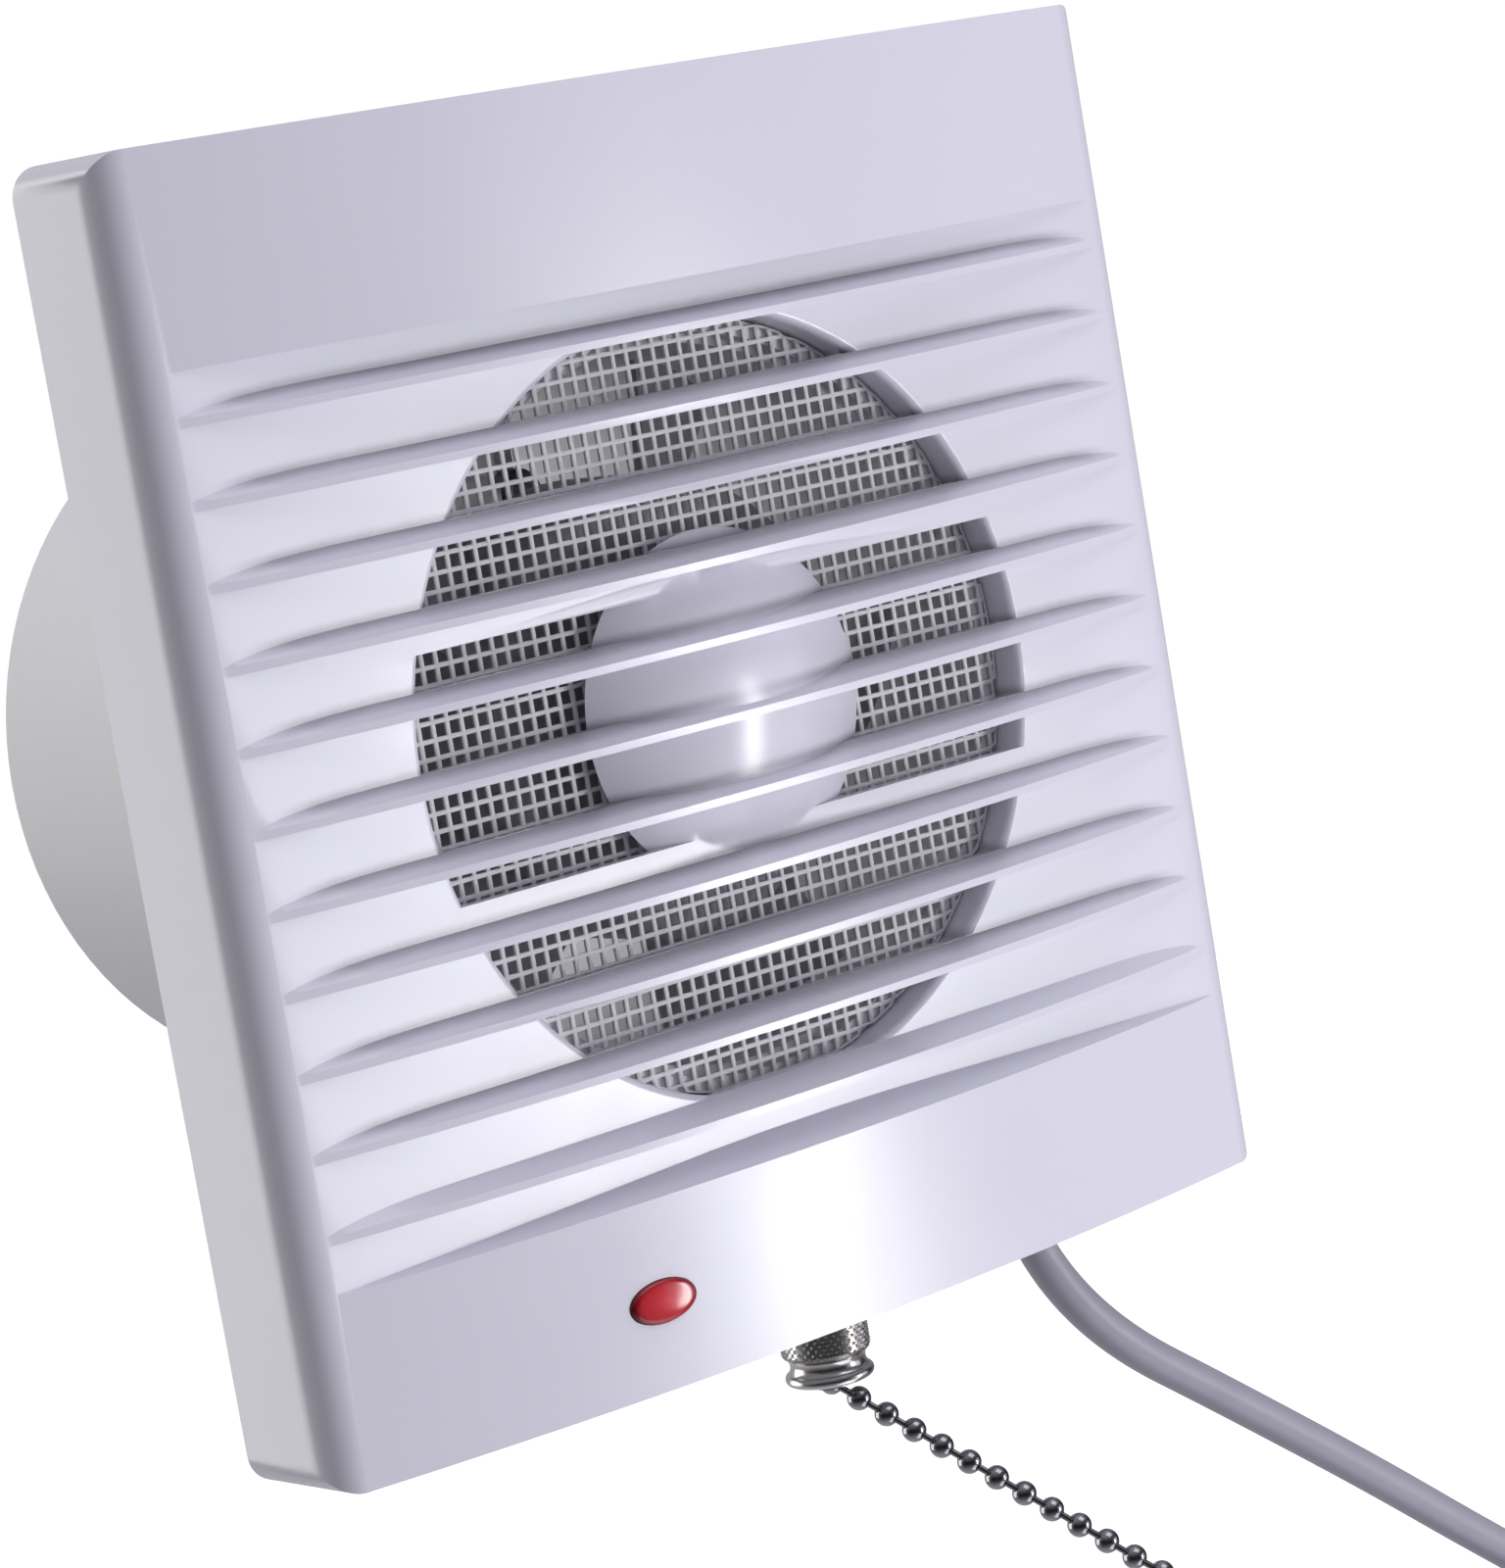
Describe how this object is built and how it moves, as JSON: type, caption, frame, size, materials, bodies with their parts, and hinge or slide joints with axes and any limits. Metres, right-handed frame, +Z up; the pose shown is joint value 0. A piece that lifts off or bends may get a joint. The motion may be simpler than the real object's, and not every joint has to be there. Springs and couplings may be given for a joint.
{
  "type": "exhaust fan",
  "caption": "Square wall exhaust fan with a bowed louvred front, round duct spigot, axial impeller on a small motor, pull-chain switch, pilot lamp and mains flex.",
  "frame": {"origin": "on the wall face, at the centre of the four wall screws and of the duct", "axes": "+X to the right seen from the room, +Y into the wall along the duct, +Z up"},
  "size_m": [0.252, 0.1323, 0.3343],
  "materials": {
    "white_panel": "moulded, satin gloss",
    "white_housing": "moulded, satin",
    "screen_net": "woven net",
    "impeller_plastic": "moulded",
    "steel": "bright zinc",
    "motor_shell": "pressed steel",
    "laminations": "stacked sheets",
    "sintered_bronze": "oil-filled bush",
    "copper_winding": "enamelled wire",
    "bobbin_plastic": "moulded",
    "switch_plastic": "moulded phenolic",
    "contact_brass": "stamped",
    "dark_nickel": "dark nickel plate",
    "chain_metal": "dark chrome plate",
    "red_lens": "clear red, domed",
    "lamp_glass": "neon bulb",
    "pvc_flex": "soft extruded sleeve",
    "clamp_plastic": "moulded",
    "tie_plastic": "soft strap",
    "pin_metal": "nickel-plated brass"
  },
  "bodies": {
    "housing": {"front_cover": "white_panel", "rear_housing": "white_housing", "screen_frame": "white_housing", "insect_screen": "screen_net", "motor_screws": "steel", "clamp_screws": "steel", "switch_spring": "steel", "motor_can": "motor_shell", "motor_cap": "motor_shell", "stator_core": "laminations", "front_bush": "sintered_bronze", "rear_bush": "sintered_bronze", "stator_coils": "copper_winding", "coil_bobbins": "bobbin_plastic", "terminal_block": "bobbin_plastic", "lamp_holder": "bobbin_plastic", "switch_case": "switch_plastic", "switch_lid": "switch_plastic", "switch_contacts": "contact_brass", "terminal_screws": "contact_brass", "knurled_nut": "dark_nickel", "switch_bushing": "dark_nickel", "switch_locknut": "dark_nickel", "lamp_lens": "red_lens", "lamp_bulb": "lamp_glass", "power_cord": "pvc_flex", "cord_coil": "pvc_flex", "cord_grommet": "pvc_flex", "cord_clamp": "clamp_plastic", "plug_body": "clamp_plastic", "cord_tie": "tie_plastic", "plug_pins": "pin_metal"},
    "fan": {"impeller": "impeller_plastic", "impeller_clip": "steel", "motor_shaft": "steel", "rotor_core": "laminations"},
    "plunger": {"switch_plunger": "dark_nickel"},
    "chain": {"pull_chain": "chain_metal", "chain_pull": "chain_metal"},
    "drum": {"switch_drum": "switch_plastic"}
  },
  "joints": [
    {"name": "fan_spin", "type": "hinge", "parent": "housing", "child": "fan", "pos_m": [0, 0, 0], "axis": [0, 1, 0], "continuous": true},
    {"name": "switch_pull", "type": "slide", "parent": "housing", "child": "plunger", "axis": [0, 0, -1], "range_m": [0, 0.005], "stiffness_N_per_m": 400, "springref_m": -0.003, "deforming": ["switch_spring"]},
    {"name": "chain_swing", "type": "hinge", "parent": "plunger", "child": "chain", "pos_m": [0, -0.0148, -0.0893], "axis": [0.716, 0.6981, 0], "range_deg": [0, 60]},
    {"name": "drum_turn", "type": "hinge", "parent": "housing", "child": "drum", "pos_m": [0.0053, -0.0148, -0.068], "axis": [0, 1, 0], "range_deg": [-5, 95]}
  ],
  "couplings": [
    {"joint": "drum_turn", "follows": "switch_pull", "rad_per_m": 314.16}
  ]
}
